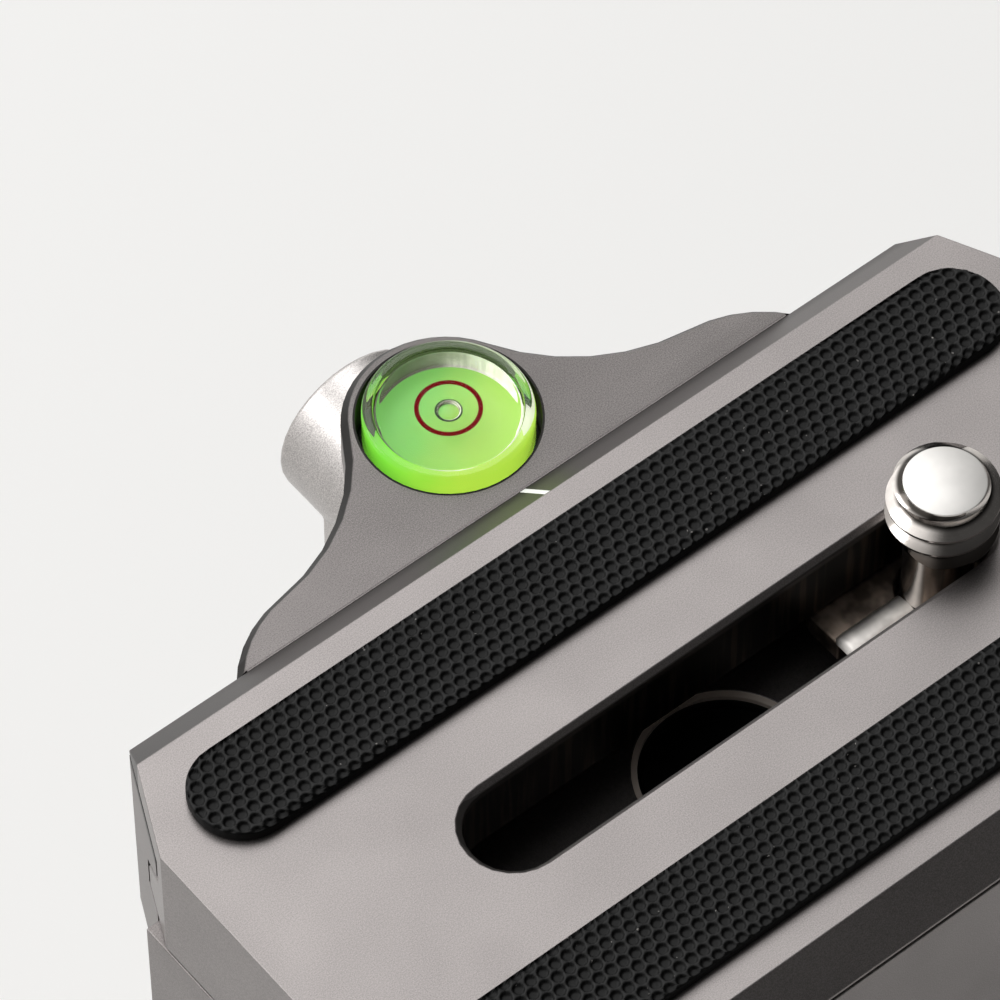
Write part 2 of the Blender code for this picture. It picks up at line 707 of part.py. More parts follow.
def make_clamp_body():
    groove = jaw_groove(-1)
    profile = [(-half_plate_width, clamp_bottom), (-half_plate_width, jaw_top)] + groove
    profile += [(slab_edge, clamp_floor), (slab_edge, clamp_bottom)]
    clamp = add_object("clamp_body", bar_bm(profile), body_grey)
    trim_corners(clamp, [-1])
    seat_low = clamp_floor - counterbore_depth
    cut(clamp, "bolt_hole",
        stepped_bm([(centre_bolt_radius + running_gap, clamp_bottom - overrun, seat_low),
                    (counterbore_radius, seat_low, clamp_floor + overrun)], plain_steps))
    cut(clamp, "lever_shaft_hole",
        cylinder_bm(lever_shaft_radius + running_gap, (0, lever_shaft_start - running_gap, lever_axis),
                    (0, slab_edge + overrun, lever_axis), 24))
    for side, name in ((-1, "left"), (1, "right")):
        start = guide_pin_start - running_gap
        spring_start = slab_edge - jaw_spring_length - running_gap
        hole = stepped_bm([(guide_pin_radius + running_gap, 0, spring_start - start),
                           (jaw_spring_outer + running_gap, spring_start - start, slab_edge + overrun - start)])
        place = (side * guide_pin_place, start, guide_pin_height)
        cut(clamp, f"guide_hole_{name}", along(hole, (0, 1, 0), place))
    groove_start = stop_screw_place - plate_travel - stop_screw_radius - running_gap
    groove_side = stop_screw_radius + stop_groove_gap
    groove_low = clamp_floor - stop_screw_reach
    for side, name in ((-1, "left"), (1, "right")):
        ends = sorted((side * groove_start, side * (plate_length / 2 + overrun)))
        cut(clamp, f"stop_groove_{name}",
            box_bm((ends[0], -groove_side, groove_low), (ends[1], groove_side, clamp_floor + overrun)))


def ear_outline(spread):
    """The ear seen from above: a round tip, a hollow on each side and a round shoulder."""
    tip = Vector((0, ear_centre + ear_tip_shift))
    shoulder = Vector((ear_shoulder_x, ear_shoulder_y))
    reach_tip = ear_tip_radius + ear_fillet_radius
    reach_shoulder = ear_shoulder_radius + ear_fillet_radius
    span = shoulder - tip
    middle = (reach_tip ** 2 - reach_shoulder ** 2 + span.length ** 2) / (2 * span.length)
    rise = math.sqrt(reach_tip ** 2 - middle ** 2)
    fillet = tip + span.normalized() * middle + Vector((-span.y, span.x)).normalized() * rise

    def angle(point, centre):
        return math.degrees(math.atan2(point.y - centre.y, point.x - centre.x))

    shoulder_start = math.degrees(math.asin(ear_shoulder_inset / (ear_shoulder_radius + spread)))
    right = arc(shoulder, ear_shoulder_radius + spread, shoulder_start, angle(fillet, shoulder), 5)[:-1]
    right += arc(fillet, ear_fillet_radius - spread, angle(shoulder, fillet), angle(tip, fillet), 6)[:-1]
    right += arc(tip, ear_tip_radius + spread, angle(fillet, tip), 90, 8)
    left = [(-x, y) for x, y in reversed(right[:-1])]
    inner = half_plate_width - overrun
    return [(right[0][0], inner)] + right + left + [(left[-1][0], inner)]


def make_moving_jaw():
    wall = slab_edge + running_gap
    groove = jaw_groove(1)
    profile = [(wall, clamp_bottom), (half_plate_width, clamp_bottom), (half_plate_width, jaw_top)]
    profile += groove + [(wall, clamp_floor)]
    jaw = add_object("moving_jaw", bar_bm(profile), body_grey)
    trim_corners(jaw, [1])
    outline, flat = ear_outline(ear_edge_spread), ear_outline(-ear_edge_inset)
    ear = stack_bm([(outline, ear_bottom), (outline, ear_top - ear_edge_drop), (flat, ear_top)])
    join(jaw, "ear", ear)
    # The plate's flange passes over the jaw, so the ear only rises beyond it.
    cut(jaw, "flange_seat", box_bm((-plate_length, 0, jaw_top),
                                   (plate_length, half_plate_width + ear_front_gap, ear_top + overrun)))
    hole_low = ear_bottom + level_hole_floor
    cut(jaw, "level_hole", cylinder_bm(level_hole_radius, (0, ear_centre, hole_low),
                                       (0, ear_centre, ear_top + overrun), fine_steps))
    cut(jaw, "jaw_shaft_hole",
        cylinder_bm(lever_shaft_radius + running_gap, (0, wall - overrun, lever_axis),
                    (0, half_plate_width + overrun, lever_axis), 24))
    for side, name in ((-1, "left"), (1, "right")):
        place = (side * guide_pin_place, guide_pin_height)
        cut(jaw, f"jaw_guide_hole_{name}",
            cylinder_bm(guide_pin_radius + running_gap, (place[0], wall - overrun, place[1]),
                        (place[0], half_plate_width + overrun, place[1]), 20))


def make_guide_pins():
    for side, name in ((-1, "left"), (1, "right")):
        x, z = side * guide_pin_place, guide_pin_height
        pin = cylinder_bm(guide_pin_radius, (x, guide_pin_start, z), (x, half_plate_width - running_gap, z), 20)
        add_object(f"guide_pin_{name}", pin, steel)
        low, high = slab_edge - jaw_spring_length, slab_edge
        profile = [(jaw_spring_inner, 0), (jaw_spring_outer, 0),
                   (jaw_spring_outer, high - low), (jaw_spring_inner, high - low)]
        spring = along(turn_bm(profile, 20), (0, 1, 0), (x, low, z))
        add_object(f"jaw_spring_{name}", spring, steel)


def make_centre_bolt():
    head_low = clamp_floor - counterbore_depth + running_gap
    head_top = head_low + centre_bolt_head_height
    end = head_low - centre_bolt_length
    profile = [(0, end), (centre_bolt_radius, end), (centre_bolt_radius, head_low),
               (centre_bolt_head_radius, head_low), (centre_bolt_head_radius, head_top), (0, head_top)]
    bolt = add_object("centre_bolt", turn_bm(profile, plain_steps), steel)
    key = arc((0, 0), centre_bolt_key, 0, 300, 5)
    cut(bolt, "centre_bolt_key",
        stack_bm([(key, head_top - centre_bolt_key_depth), (key, head_top + overrun)]))


def make_level():
    base_low = ear_bottom + level_hole_floor + seat_gap
    base_top = base_low + level_base_height
    vial_low = base_top + seat_gap
    vial_top = ear_top + level_rise
    place = (0, ear_centre, 0)
    base = cylinder_bm(level_radius, (0, ear_centre, base_low), (0, ear_centre, base_top))
    add_object("level_base", base, level_green)
    profile = [(0, vial_low), (level_radius, vial_low), (level_radius, vial_top - level_edge),
               (level_radius - level_edge, vial_top), (0, vial_top)]
    vial = turn_bm(profile, fine_steps)
    bmesh.ops.translate(vial, verts=vial.verts, vec=place)
    add_object("level_vial", vial, level_clear)


def make_lever():
    bore = lever_shaft_radius + running_gap
    bore_end = lever_shaft_end + running_gap
    profile = [(0, bore_end), (bore, bore_end), (bore, lever_start), (lever_hub_radius, lever_start),
               (lever_hub_radius, lever_reach - lever_edge), (lever_hub_radius - lever_edge, lever_reach),
               (0, lever_reach)]
    axis_point = (0, lever_start, lever_axis)
    lever = add_object("clamp_lever", along(turn_bm(profile, plain_steps), (0, 1, 0), (0, 0, lever_axis)),
                       knob_silver, joint=axis_point)
    corner = lever_arm_corner
    arm_low, arm_side = lever_axis - lever_arm_length, lever_arm_width / 2
    foot = arc((-arm_side + corner, arm_low + corner), corner, 180, 270, 5)
    foot += arc((arm_side - corner, arm_low + corner), corner, 270, 360, 5)
    # The arm ends inside the hub's wall, round the shaft's bore.
    outline = foot + [(arm_side, lever_axis)]
    outline += arc((0, lever_axis), (bore + lever_hub_radius) / 2, 0, -180, 12) + [(-arm_side, lever_axis)]
    # The arm's outline lies in X and Z, and its thickness runs along Y.
    arm = stack_bm([(outline, -lever_arm_outer), (outline, -lever_arm_inner)])
    arm.transform(Matrix.Rotation(math.radians(90), 4, "X"))
    join(lever, "lever_arm", arm)
    key = arc((0, 0), lever_key, 0, 300, 5)
    socket = stack_bm([(key, lever_reach - lever_key_depth), (key, lever_reach + overrun)])
    cut(lever, "lever_key", along(socket, (0, 1, 0), (0, 0, lever_axis)))
    shaft = cylinder_bm(lever_shaft_radius, (0, lever_shaft_start, lever_axis),
                        (0, lever_shaft_end, lever_axis), 24)
    add_object("lever_shaft", shaft, steel, joint=axis_point)


# Quick release plate and camera screw

def stadium(length, width, steps=12):
    """A slot's outline along X, with round ends."""
    half, radius = length / 2 - width / 2, width / 2
    return arc((half, 0), radius, -90, 90, steps) + arc((-half, 0), radius, 90, 270, steps)


def make_quick_plate():
    bevel_low = plate_top - plate_bevel
    neck_top, neck_low = flange_underside, plate_top - plate_neck_depth
    neck, tail = plate_neck_width / 2, plate_dovetail_width / 2
    bottom = plate_top - plate_thickness
    right = [(tail, bottom), (tail, neck_low - (tail - neck)), (neck, neck_low), (neck, neck_top),
             (half_plate_width, neck_top), (half_plate_width, bevel_low), (plate_top_width / 2, plate_top)]
    profile = right + [(-y, z) for y, z in reversed(right)]
    plate = add_object("quick_plate", bar_bm(profile), body_grey, joint=(0, 0, plate_top))
    trim_corners(plate, [-1, 1])
    narrow = stadium(slot_length, slot_width)
    wide = stadium(slot_length + 2 * slot_bevel, slot_width + 2 * slot_bevel)
    cut(plate, "plate_slot", stack_bm([(narrow, bottom), (narrow, plate_top - slot_bevel),
                                       (wide, plate_top), (wide, plate_top + overrun)]))
    low, high = (-pocket_length / 2, -pocket_width / 2), (pocket_length / 2, pocket_width / 2)
    pocket = rounded_rectangle(low, high, pocket_corner)
    cut(plate, "plate_pocket", stack_bm([(pocket, bottom - overrun), (pocket, plate_top - plate_web)]))
    for side, name in ((-1, "left"), (1, "right")):
        x = side * stop_screw_place
        screw_low, screw_high = bottom - stop_screw_reach + running_gap, bottom + stop_screw_length - stop_screw_reach
        cut(plate, f"stop_hole_{name}",
            cylinder_bm(stop_screw_radius + running_gap, (x, 0, bottom - overrun),
                        (x, 0, screw_high + running_gap), 20))
        screw = cylinder_bm(stop_screw_radius, (x, 0, screw_low), (x, 0, screw_high), 20)
        add_object(f"stop_screw_{name}", screw, steel, joint=(x, 0, plate_top))


def make_strips():
    low_z, high_z = plate_top + seat_gap, plate_top + strip_thickness
    half = strip_length / 2
    for side, name in ((-1, "front"), (1, "rear")):
        y = sorted((side * strip_inner, side * strip_outer))
        outline = rounded_rectangle((-half, y[0]), (half, y[1]), strip_corner)
        top = rounded_rectangle((-half + strip_edge, y[0] + strip_edge),
                                (half - strip_edge, y[1] - strip_edge), strip_corner - strip_edge)
        bm = stack_bm([(outline, low_z), (outline, high_z - strip_edge), (top, high_z)])
        add_object(f"rubber_strip_{name}", bm, rubber, joint=(0, 0, plate_top))


def make_camera_screw():
    tab_top = plate_top - plate_web - running_gap
    tab_low = tab_top - tab_thickness
    place = (camera_screw_place, 0, plate_top)
    low = (camera_screw_place - tab_reach, -tab_width / 2)
    high = (camera_screw_place + tab_heel, tab_width / 2)
    outline = rounded_rectangle(low, high, tab_corner)
    tab = add_object("screw_tab", stack_bm([(outline, tab_low), (outline, tab_top)]), steel, joint=place)
    neck = camera_shank_radius + running_gap
    cut(tab, "tab_hole", cylinder_bm(neck, (camera_screw_place, 0, tab_low - overrun),
                                     (camera_screw_place, 0, tab_top + overrun), 24))
    cut(tab, "tab_slit", box_bm((low[0] - overrun, -tab_slit / 2, tab_low - overrun),
                                (camera_screw_place, tab_slit / 2, tab_top + overrun)))

    head_top = tab_low - running_gap
    head_low = head_top - camera_head_height
    thread_low = plate_top + camera_thread_lift
    tip = plate_top + camera_screw_reach
    profile = [(0, head_low), (camera_head_radius, head_low), (camera_head_radius, head_top),
               (camera_shank_radius, head_top), (camera_shank_radius, thread_low)]
    for i in range(camera_thread_turns):
        turn_low = thread_low + i * camera_thread_pitch * thread_share
        step = camera_thread_pitch * thread_share
        profile += [(camera_thread_root, turn_low + step * 0.1), (camera_thread_radius, turn_low + step * 0.45),
                    (camera_thread_radius, turn_low + step * 0.6), (camera_thread_root, turn_low + step * 0.95)]
    profile += [(camera_tip_radius, tip), (0, tip)]
    bm = turn_bm(profile, plain_steps)
    bmesh.ops.translate(bm, verts=bm.verts, vec=(camera_screw_place, 0, 0))
    screw = add_object("camera_screw", bm, steel, joint=place)
    cut(screw, "camera_screw_key",
        box_bm((camera_screw_place - camera_head_radius - overrun, -camera_key_width / 2, head_low - overrun),
               (camera_screw_place + camera_head_radius + overrun, camera_key_width / 2,
                head_low + camera_key_depth)))


clear_scene()
body_grey = make_material("body_grey", (0.20, 0.195, 0.19), 0.45, 0.7)
knob_silver = make_material("knob_silver", (0.62, 0.61, 0.60), 0.35, 0.9)
ball_grey = make_material("ball_grey", (0.45, 0.45, 0.45), 0.25, 0.9)
steel = make_material("steel", (0.62, 0.61, 0.60), 0.25, 1.0)
rubber = make_material("rubber", (0.02, 0.02, 0.02), 0.7)
white_plastic = make_material("white_plastic", (0.85, 0.85, 0.82), 0.5)
level_green = make_material("level_green", (0.25, 0.75, 0.10), 0.3)
level_clear = make_material("level_clear", (0.55, 0.9, 0.35), 0.1)

make_base()
make_base_screws()
make_spindle()
make_pan_washer()
make_housing()
make_carrier()
make_pan_nut()
make_seat_spring()
make_lower_seat()
make_upper_seat()
make_ball()
make_stem()
make_main_knob()
make_pan_knob()
make_clamp_body()
make_centre_bolt()
make_moving_jaw()
make_guide_pins()
make_level()
make_lever()
make_quick_plate()
make_strips()
make_camera_screw()
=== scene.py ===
# Tripod ball head with its quick release plate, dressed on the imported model.
import math

import bmesh
import bpy
from mathutils import Matrix, Vector


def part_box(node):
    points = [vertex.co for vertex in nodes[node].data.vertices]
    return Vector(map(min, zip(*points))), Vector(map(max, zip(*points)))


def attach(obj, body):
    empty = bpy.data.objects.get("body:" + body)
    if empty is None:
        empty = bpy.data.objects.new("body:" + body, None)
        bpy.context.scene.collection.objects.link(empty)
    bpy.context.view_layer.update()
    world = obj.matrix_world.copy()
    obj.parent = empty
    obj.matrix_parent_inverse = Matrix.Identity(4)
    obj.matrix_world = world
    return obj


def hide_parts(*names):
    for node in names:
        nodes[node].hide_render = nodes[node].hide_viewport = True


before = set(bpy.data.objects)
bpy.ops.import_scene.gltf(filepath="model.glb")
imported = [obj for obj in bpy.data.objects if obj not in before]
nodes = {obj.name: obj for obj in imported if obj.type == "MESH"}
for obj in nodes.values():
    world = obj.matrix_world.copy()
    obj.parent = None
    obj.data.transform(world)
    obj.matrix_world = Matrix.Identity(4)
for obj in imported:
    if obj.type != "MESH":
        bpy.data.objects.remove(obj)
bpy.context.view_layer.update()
print("frame loaded:", len(nodes), "nodes")

scene = bpy.context.scene
scene.view_settings.view_transform = "Standard"
scene.view_settings.look = "None"

mm = 0.001
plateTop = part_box("quick_plate")[1].z
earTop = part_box("level_vial")[1].z - 1.0 * mm

# the dictionaries hold millimetres and degrees
level = {"y": 24.3, "radius": 4.88, "bottomDrop": 2.66, "footEdge": 0.12, "round": 0.3, "innerRound": 0.1,
         "rimTop": 0.85, "rimInner": 4.2, "groove": 0.14, "grooveOuter": 0.16, "grooveInner": 0.24,
         "grooveLift": 0.06, "domeRise": 0.95, "wallOuter": 4.16, "wall": 0.06, "wallTop": 0.5,
         "floorDrop": 1.58, "floorThick": 0.3, "floorEdge": 0.12, "baseDrop": 2.8, "baseEdge": 0.1,
         "baseLift": 0.05, "baseGap": 0.03, "ring": 1.79, "ringWidth": 0.26, "ringDrop": 0.04,
         "ringTop": 0.03, "ringBottom": 0.08, "bubble": 0.72, "bubbleHeight": 0.8,
         "lineOut": 0.03, "lineRadius": 0.035}

screw = {"x": 14.95, "root": 2.5, "crest": 3.175, "pitch": 1.27, "nearSide": 230.9, "nearCrest": 3.45,
         "start": -549.0, "turns": 3.5, "growFrom": 20, "fullFrom": -480.0, "sunk": 0.1, "growSunk": 0.08,
         "footShare": 0.46, "crestShare": 0.06, "tip": 4.79, "chamfer": 1.1, "tipRadius": 2.34,
         "tipCut": 0.05, "tipEdge": 0.32, "tipRounding": ((0, 0.1), (0.03, 0.02), (0.09, 0)),
         "shank": 2.0, "headRadius": 3.4, "headHeight": 1.1, "headFoot": 0.15, "headEdge": 0.1}


# shader maths written as plain expressions

class Flow:
    def __init__(self, look, socket):
        self.look, self.socket = look, socket

    def math(self, operation, other=None):
        node = self.look.make("ShaderNodeMath", {"operation": operation}, {0: self, 1: other})
        return Flow(self.look, node.outputs[0])

    def __add__(self, other):
        return self.math("ADD", other)

    def __radd__(self, other):
        return self.math("ADD", other)

    def __sub__(self, other):
        return self.math("SUBTRACT", other)

    def __rsub__(self, other):
        node = self.look.make("ShaderNodeMath", {"operation": "SUBTRACT"}, {0: other, 1: self})
        return Flow(self.look, node.outputs[0])

    def __mul__(self, other):
        return self.math("MULTIPLY", other)

    def __truediv__(self, other):
        return self.math("DIVIDE", other)

    def __mod__(self, other):
        return self.math("FLOORED_MODULO", other)

    def __lt__(self, other):
        return self.math("LESS_THAN", other)

    def __gt__(self, other):
        return self.math("GREATER_THAN", other)

    def __abs__(self):
        return self.math("ABSOLUTE")


class Look:
    def __init__(self, name):
        self.material = bpy.data.materials.new(name)
        self.material.use_nodes = True
        self.tree = self.material.node_tree
        self.shader = self.tree.nodes["Principled BSDF"]
        self.place = None

    def make(self, kind, settings, sockets):
        node = self.tree.nodes.new(kind)
        for key, value in settings.items():
            setattr(node, key, value)
        for key, value in sockets.items():
            self.feed(node.inputs[key], value)
        return node

    def feed(self, socket, value):
        if isinstance(value, Flow):
            self.tree.links.new(value.socket, socket)
        elif value is not None:
            present = socket.default_value
            if hasattr(present, "__len__") and len(value) == 3 and len(present) == 4:
                value = (*value, 1)
            socket.default_value = value

    def set(self, **values):
        for key, value in values.items():
            self.feed(self.shader.inputs[key.replace("_", " ")], value)

    def where(self):
        if self.place is None:
            self.place = Flow(self, self.make("ShaderNodeTexCoord", {}, {}).outputs["Object"])
        return self.place

    def axes(self):
        split = self.make("ShaderNodeSeparateXYZ", {}, {0: self.where()})
        return [Flow(self, output) for output in split.outputs]

    def stretched(self, scale):
        node = self.make("ShaderNodeMapping", {}, {"Vector": self.where(), "Scale": scale})
        return Flow(self, node.outputs[0])

    def noise(self, scale, detail=2.0, place=None, roughness=0.5):
        node = self.make("ShaderNodeTexNoise", {}, {"Vector": place or self.where(), "Scale": scale,
                                                    "Detail": detail, "Roughness": roughness})
        return Flow(self, node.outputs[0])

    def range(self, value, low, high, most=1.0):
        # 0 below low, rising smoothly to most above high
        node = self.make("ShaderNodeMapRange", {"interpolation_type": "SMOOTHSTEP"},
                         {0: value, 1: low, 2: high, 3: 0.0, 4: most})
        return Flow(self, node.outputs[0])

    def mix(self, factor, first, second):
        node = self.make("ShaderNodeMix", {"data_type": "RGBA"}, {0: factor, 6: first, 7: second})
        return Flow(self, node.outputs[2])

    def bump(self, height, strength, distance):
        node = self.make("ShaderNodeBump", {}, {"Height": height, "Strength": strength, "Distance": distance})
        return Flow(self, node.outputs[0])


# finishes

# painted shade on the plate's bevel beside the level
bevelShade = {"left": -30, "right": -8, "leftShare": 0.27, "rightShare": 0.58, "speckle": 0.16,
             "footFrom": 16.8, "footTo": 17.75, "footShare": 0.3, "top": 0.05, "bottom": 2.24, "inner": 15.58}
markPaint = {"halfWidth": 0.19, "inner": 15.66, "outer": 17.8, "drop": 2.22, "white": (0.86, 0.86, 0.85)}
# painted shade inside the slot, with the cutter's marks
slotShade = {"half": 2.81, "reach": 18.0, "top": 0.03, "lip": 0.9, "lipFade": 0.54,
            "grey": (0.14, 0.13, 0.125), "dark": (0.01, 0.009, 0.008), "cut": (0.075, 0.055, 0.042)}
# painted shade on the ear: darker to the right, on its slanted edge and in the level's pocket
earShade = {"left": -9, "right": 7, "fall": 0.15, "edgeTop": 0.05, "edgeBottom": 0.12,
           "footTop": 0.7, "footBottom": 1.6, "footShare": 1.3,
           "edgeDark": (0.006, 0.0055, 0.005), "edgeLight": (0.034, 0.031, 0.03), "pocket": 5.36,
           "pocketDark": (0.006, 0.006, 0.006), "pocketLight": (0.03, 0.028, 0.026)}
metalShare = 0.9


def scaled(color, share):
    return [part * share for part in color]


def blastedAnodising(name, shade, tint, roughness, speckle, tones=None):
    # bead-blasted aluminium under a coloured anodised layer; tones adds what only one piece has: painted
    # shade on the plate and the ear, and the plate's printed mark
    look = Look(name)
    grain = look.noise(13500, 3.0, roughness=0.75)
    fine = look.noise(26000, 1.0)
    cloud = look.noise(160, 2.0)
    grey = scaled(tint, shade)
    color = look.mix(look.range(grain * 0.86 + cloud * 0.14, 0.34, 0.66), scaled(grey, 1 - speckle),
                     scaled(grey, 1 + speckle))
    metal = metalShare
    if tones:
        color, metal = tones(look, color, grey, grain)
    look.set(Base_Color=color, Metallic=metal, Roughness=roughness + grain * 0.12,
             Normal=look.bump(fine * 0.4 + grain, 0.3, 0.012 * mm))
    return look.material


def platePaintedShadeAndMark(look, color, grey, grain):
    # painted shade: the bevel beside the level is painted darker to the left and at its foot, for the dark
    # room it reflects
    x, y, z = look.axes()
    bevel = look.mix(look.range(x, bevelShade["left"] * mm, bevelShade["right"] * mm),
                     scaled(grey, bevelShade["leftShare"]), scaled(grey, bevelShade["rightShare"]))
    bevel = look.mix(look.range(grain, 0.4, 0.6), look.mix(bevelShade["speckle"], bevel, (0, 0, 0)), bevel)
    bevel = look.mix(look.range(abs(y), bevelShade["footFrom"] * mm, bevelShade["footTo"] * mm), bevel,
                     scaled(grey, bevelShade["footShare"]))
    onBevel = (z < plateTop - bevelShade["top"] * mm) * (z > plateTop - bevelShade["bottom"] * mm)
    color = look.mix(onBevel * (y > bevelShade["inner"] * mm), color, bevel)
    # white centre mark on that bevel
    across = (abs(x) < markPaint["halfWidth"] * mm) * (y > markPaint["inner"] * mm)
    painted = across * (y < markPaint["outer"] * mm) * (z > plateTop - markPaint["drop"] * mm)
    color = look.mix(painted, color, markPaint["white"])
    # painted shade in the slot: its walls keep a grey lip and turn nearly black below, with marks of the
    # cutter
    inSlot = (abs(y) < slotShade["half"] * mm) * (abs(x) < slotShade["reach"] * mm)
    streak = look.noise(2400, 2.0, place=look.stretched((1, 1, 0.06)))
    deepShade = look.mix(look.range(streak, 0.45, 0.7), slotShade["dark"], slotShade["cut"])
    wall = look.mix(look.range(z, plateTop - slotShade["lip"] * mm, plateTop - slotShade["lipFade"] * mm),
                    deepShade, slotShade["grey"])
    color = look.mix(inSlot * (z < plateTop - slotShade["top"] * mm), color, wall)
    return color, metalShare - painted * metalShare


def earPaintedShade(look, color, grey, grain):
    # painted shade: the top is painted darker to the right, the slanted edge dark above a lighter foot, and
    # the level's pocket dark
    x, y, z = look.axes()
    color = look.mix(look.range(x, earShade["left"] * mm, earShade["right"] * mm, earShade["fall"]), color,
                     (0, 0, 0))
    edge = look.mix(look.range(z, earTop - earShade["footBottom"] * mm, earTop - earShade["footTop"] * mm),
                    scaled(grey, earShade["footShare"]),
                    look.mix(grain, earShade["edgeDark"], earShade["edgeLight"]))
    color = look.mix(look.range(z, earTop - earShade["edgeBottom"] * mm, earTop - earShade["edgeTop"] * mm),
                     edge, color)
    y = y - level["y"] * mm
    pocket = (x * x + y * y).math("SQRT") < earShade["pocket"] * mm
    color = look.mix(pocket, color, look.mix(grain, earShade["pocketDark"], earShade["pocketLight"]))
    return color, metalShare


# painted shade on the thread: darker towards the plate and in the root between turns
threadShade = {"low": 0.8, "high": 3.7, "grooveFrom": 0.02, "grooveTo": 0.3, "groove": (0.05, 0.045, 0.04)}


def turnedSteel(name, shade, roughness, streak, axis="Z", deepShade=None):
    # steel with fine rings left by the lathe, or streaks along X; the deep colour, if given, is painted shade
    # on the thread's lower turns near the plate
    look = Look(name)
    along = {"X": (1, 0.02, 0.02), "Z": (0.02, 0.02, 1)}[axis]
    lines = look.noise(9000, 2.0, place=look.stretched(along))
    patch = look.noise(700, 2.0)
    color = look.mix(look.range(patch, 0.32, 0.68), scaled(shade, 1 - streak), shade)
    if deepShade:
        x, y, z = look.axes()
        color = look.mix(look.range(z, plateTop + threadShade["low"] * mm, plateTop + threadShade["high"] * mm),
                         deepShade, color)
        # painted shade in the thread's root
        x = x - screw["x"] * mm
        inner, outer = screw["root"] + threadShade["grooveFrom"], screw["root"] + threadShade["grooveTo"]
        color = look.mix(look.range((x * x + y * y).math("SQRT"), inner * mm, outer * mm),
                         threadShade["groove"], color)
    look.set(Base_Color=color, Metallic=1.0, Roughness=roughness + lines * streak * 0.5,
             Normal=look.bump(lines, 0.25, 0.01 * mm))
    return look.material


def evenSurface(name, color, roughness, shine=0.5):
    # plastic, or a matt metal edge, in one slightly uneven colour
    look = Look(name)
    skin = look.noise(6000, 2.0)
    look.set(Base_Color=look.mix(look.noise(300), scaled(color, 0.93), color), Specular_IOR_Level=shine,
             Roughness=roughness + skin * 0.1, Normal=look.bump(skin, 0.15, 0.01 * mm))
    return look.material


# depths below the strip's top: the dimples' walls end at the floor and at the web between two dimples
webTone = {"floor": 0.19, "wallFoot": 0.15, "web": 0.05, "wallTop": 0.02, "worn": 0.01}


def blackRubber(name, shade, top=None):
    look = Look(name)
    black = (shade,) * 3
    skin = look.noise(7000, 3.0)
    dust = look.range(look.noise(3600, 0.0), 0.84, 0.88)
    color = look.mix(skin, scaled(black, 0.7), scaled(black, 1.25))
    if top:
        # the webs between the dimples are lighter, and the dimples' walls carry painted shade, nearly black
        x, y, z = look.axes()
        overFloor = look.range(z, top - webTone["floor"] * mm, top - webTone["wallFoot"] * mm)
        onWeb = look.range(z, top - webTone["web"] * mm, top - webTone["wallTop"] * mm)
        worn = look.range(z, top - webTone["web"] * mm, top - webTone["worn"] * mm)
        color = look.mix(worn, color, look.mix(skin, scaled(black, 0.9), scaled(black, 2.1)))
        color = look.mix(overFloor * (1 - onWeb), color, scaled(black, 0.2))
    color = look.mix(dust, color, (0.2, 0.19, 0.18))
    look.set(Base_Color=color, Roughness=0.5 + skin * 0.12, Specular_IOR_Level=0.2,
             Normal=look.bump(skin, 0.3, 0.02 * mm))
    return look.material


scalePaint = {"step": 5, "longStep": 30, "half": 0.32, "longHalf": 0.448, "top": 7.35, "short": 1.0,
              "long": 1.7, "radius": 21.9, "white": (0.85, 0.85, 0.84)}


def scaleRing(name):
    # the base's titanium grey with a degree scale printed round its side
    look = Look(name)
    x, y, z = look.axes()
    grain = look.noise(5200, 3.0, roughness=0.62)
    degrees = y.math("ARCTAN2", x) * (180 / math.pi)
    top = scalePaint["top"] * mm

    def lines(step, half, length):
        off = abs((degrees + step / 2) % step - step / 2)
        return (off < half) * (z > top - length * mm) * (z < top)

    short = lines(scalePaint["step"], scalePaint["half"], scalePaint["short"])
    tall = lines(scalePaint["longStep"], scalePaint["longHalf"], scalePaint["long"])
    outside = (x * x + y * y) > (scalePaint["radius"] * mm) ** 2
    ink = short.math("MAXIMUM", tall) * outside
    grey = look.mix(grain, (0.15, 0.145, 0.14), (0.2, 0.193, 0.188))
    look.set(Base_Color=look.mix(ink, grey, scalePaint["white"]), Metallic=metalShare - ink * metalShare,
             Roughness=0.36 + grain * 0.12, Normal=look.bump(grain, 0.22, 0.02 * mm))
    return look.material


warm = (1.0, 0.925, 0.905)
titanium = blastedAnodising("titaniumAnodised", 0.24, warm, 0.36, 0.25)
titaniumPlate = blastedAnodising("titaniumAnodisedPlate", 0.25, warm, 0.36, 0.25, platePaintedShadeAndMark)
titaniumEar = blastedAnodising("titaniumAnodisedEar", 0.168, warm, 0.4, 0.34, earPaintedShade)
titaniumLip = blastedAnodising("titaniumLip", 0.168, warm, 0.4, 0.34)
satinSilver = blastedAnodising("satinSilver", 0.46, (1.0, 0.95, 0.925), 0.3, 0.36)
ballGrey = blastedAnodising("ballAnodised", 0.35, (1, 1, 1), 0.22, 0.04)
scaleGrey = scaleRing("scaleRing")
steel = turnedSteel("turnedSteel", (0.62, 0.58, 0.54), 0.24, 0.3)
nickel = turnedSteel("brightNickel", (0.84, 0.79, 0.75), 0.16, 0.2)
brushedTab = turnedSteel("brushedTab", (0.36, 0.29, 0.24), 0.3, 0.75, axis="X")
threadSteel = turnedSteel("threadSteel", (0.8, 0.75, 0.71), 0.1, 0.2, deepShade=(0.07, 0.058, 0.05))
ridgeSteel = turnedSteel("ridgeSteel", (0.92, 0.88, 0.84), 0.34, 0.35, axis="X")
screwEnd = turnedSteel("screwEnd", (0.62, 0.605, 0.585), 0.42, 0.08)
blackOxide = turnedSteel("blackOxide", (0.02, 0.02, 0.02), 0.4, 0.2)
